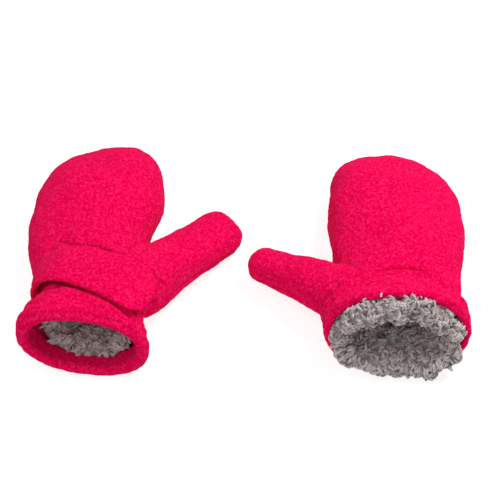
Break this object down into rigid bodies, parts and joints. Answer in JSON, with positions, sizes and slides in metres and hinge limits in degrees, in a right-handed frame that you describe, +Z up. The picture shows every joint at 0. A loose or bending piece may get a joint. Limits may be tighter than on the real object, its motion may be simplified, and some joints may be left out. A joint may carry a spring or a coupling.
{
  "type": "pair of toddler fleece mittens",
  "caption": "Pair of thick fleece toddler mittens with curly pile lining, gathered elastic wrist and a hook-and-loop strap at each wrist.",
  "frame": {"origin": "on the table under the middle of the pair's bounding box", "axes": "+X from the left mitten to the right one, +Y from the mouths to the fingertips, +Z up"},
  "size_m": [0.2962, 0.1821, 0.0587],
  "materials": {
    "fleece": "brushed polyester fleece, matt, short nap",
    "pile": "curly high-pile fleece, grey",
    "elastic": "woven elastic band",
    "hook_tape": "woven tape with nylon hooks",
    "loop_tape": "woven tape with nylon loops"
  },
  "bodies": {
    "left_mitten": {"left_shell_back": "fleece", "left_shell_palm": "fleece", "left_lining_back": "pile", "left_lining_palm": "pile", "left_cuff_facing": "fleece", "left_wrist_elastic": "elastic", "left_loop_patch": "loop_tape"},
    "left_thumb": {"left_thumb_shell_back": "fleece", "left_thumb_shell_palm": "fleece", "left_thumb_lining_back": "pile", "left_thumb_lining_palm": "pile"},
    "left_strap": {"left_strap_top": "fleece", "left_strap_under": "fleece", "left_hook_patch": "hook_tape"},
    "right_mitten": {"right_shell_back": "fleece", "right_shell_palm": "fleece", "right_lining_back": "pile", "right_lining_palm": "pile", "right_wrist_elastic": "elastic", "right_loop_patch": "loop_tape"},
    "right_thumb": {"right_thumb_shell_back": "fleece", "right_thumb_shell_palm": "fleece", "right_thumb_lining_back": "pile", "right_thumb_lining_palm": "pile"},
    "right_strap": {"right_strap_top": "fleece", "right_strap_under": "fleece", "right_hook_patch": "hook_tape"}
  },
  "joints": [
    {"name": "left_thumb_bend", "type": "hinge", "parent": "left_mitten", "child": "left_thumb", "pos_m": [-0.06481, 0.00357, 0.02], "axis": [0, 0, 1], "range_deg": [0, 20]},
    {"name": "left_strap_open", "type": "hinge", "parent": "left_mitten", "child": "left_strap", "pos_m": [-0.1434, -0.02485, 0.027], "axis": [-0.342, -0.9397, 0], "range_deg": [0, 165]},
    {"name": "right_mitten_slide", "type": "slide", "parent": "left_mitten", "child": "right_mitten", "axis": [1, 0, 0], "range_m": [0, 0.12]},
    {"name": "right_thumb_bend", "type": "hinge", "parent": "right_mitten", "child": "right_thumb", "pos_m": [0.05987, -0.01663, 0.02], "axis": [0, 0, -1], "range_deg": [0, 20]},
    {"name": "right_strap_open", "type": "hinge", "parent": "right_mitten", "child": "right_strap", "pos_m": [0.14202, -0.04532, 0.029], "axis": [-0.0349, -0.9994, 0], "range_deg": [0, 165]}
  ]
}
